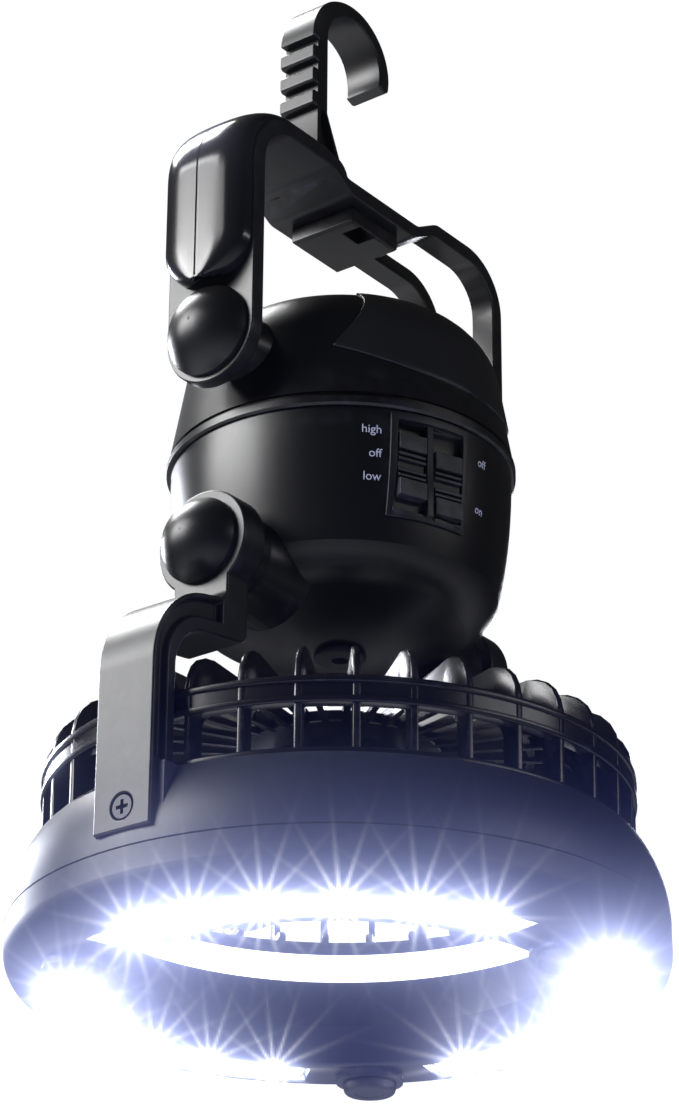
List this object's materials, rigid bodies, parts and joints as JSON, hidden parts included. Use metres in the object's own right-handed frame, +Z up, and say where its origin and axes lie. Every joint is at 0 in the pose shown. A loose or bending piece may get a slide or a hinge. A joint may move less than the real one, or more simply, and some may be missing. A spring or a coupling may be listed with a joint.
{
  "type": "portable camping fan",
  "caption": "Portable hanging camping fan with a light ring, tilting battery body, slide switches, folding handle and folding hook.",
  "frame": {"origin": "on the floor under the middle of the feet", "axes": "+Z up, X along the pivots of the yoke and handle, -Y the side that the badge faces"},
  "size_m": [0.1548, 0.1534, 0.2706],
  "materials": {
    "shell_plastic": "satin black moulded plastic",
    "cage_plastic": "satin black moulded plastic",
    "rotor_plastic": "satin black moulded plastic",
    "grip_rubber": "soft satin rubber",
    "foot_rubber": "matt rubber",
    "badge_plastic": "smooth dark grey plate",
    "switch_plastic": "matt black plastic",
    "lens_clear": "clear polycarbonate",
    "reflector": "metallised tray",
    "led_epoxy": "clear epoxy lamp",
    "board": "circuit board",
    "inner_plastic": "natural nylon",
    "steel": "zinc plated",
    "motor_can": "plated can",
    "contact_metal": "nickel plated spring contact",
    "cell_jacket": "printed cell jacket without any printing"
  },
  "bodies": {
    "head": {"bezel": "shell_plastic", "shell": "shell_plastic", "duct_collar": "inner_plastic", "cage": "cage_plastic", "foot_1": "foot_rubber", "foot_2": "foot_rubber", "foot_3": "foot_rubber", "lens_1": "lens_clear", "lens_2": "lens_clear", "lens_3": "lens_clear", "reflector_1": "reflector", "reflector_2": "reflector", "reflector_3": "reflector", "leds": "led_epoxy", "led_board": "board", "board_posts": "inner_plastic", "board_screws": "steel", "motor": "motor_can", "yoke_arm_left": "shell_plastic", "yoke_arm_right": "shell_plastic", "yoke_screws": "steel", "yoke_nuts": "steel", "lower_cap_left": "shell_plastic", "lower_cap_right": "shell_plastic"},
    "fan_rotor": {"rotor": "rotor_plastic", "motor_shaft": "steel"},
    "battery_body": {"barrel": "shell_plastic", "grommet": "foot_rubber", "cell_cradle": "inner_plastic", "cell_1": "cell_jacket", "cell_2": "cell_jacket", "lower_contacts": "contact_metal", "switch_panel": "switch_plastic", "switch_board": "board", "fan_switch_body": "steel", "light_switch_body": "steel", "lower_washers": "inner_plastic", "lower_pivot_screws": "steel"},
    "fan_switch": {"fan_knob": "switch_plastic"},
    "light_switch": {"light_knob": "switch_plastic"},
    "top_cover": {"cover": "shell_plastic", "badge_panel": "badge_plastic", "top_contact": "contact_metal", "top_plate": "inner_plastic", "upper_washers": "inner_plastic", "upper_pivot_screws": "steel"},
    "handle": {"handle_frame": "shell_plastic", "grip_pad": "grip_rubber", "hook_housing": "shell_plastic", "hook_pin": "steel", "upper_cap_left": "shell_plastic", "upper_cap_right": "shell_plastic"},
    "hook": {"hook": "shell_plastic"}
  },
  "joints": [
    {"name": "fan_spin", "type": "hinge", "parent": "head", "child": "fan_rotor", "pos_m": [0, 0, 0.041], "axis": [0, 0, 1], "continuous": true},
    {"name": "head_tilt", "type": "hinge", "parent": "head", "child": "battery_body", "pos_m": [0, 0, 0.1002], "axis": [1, 0, 0], "range_deg": [-60, 60]},
    {"name": "cover_twist", "type": "hinge", "parent": "battery_body", "child": "top_cover", "pos_m": [0, 0, 0.1356], "axis": [0, 0, 1], "range_deg": [0, 15]},
    {"name": "handle_fold", "type": "hinge", "parent": "top_cover", "child": "handle", "pos_m": [0, 0, 0.1554], "axis": [-1, 0, 0], "range_deg": [-90, 90]},
    {"name": "hook_fold", "type": "hinge", "parent": "handle", "child": "hook", "pos_m": [-0.014, 0, 0.214], "axis": [0, 1, 0], "range_deg": [0, 90]},
    {"name": "fan_switch_slide", "type": "slide", "parent": "battery_body", "child": "fan_switch", "axis": [0, 0, 1], "range_m": [-0.0029, 0.0029]},
    {"name": "light_switch_slide", "type": "slide", "parent": "battery_body", "child": "light_switch", "axis": [0, 0, 1], "range_m": [0, 0.0056]}
  ]
}
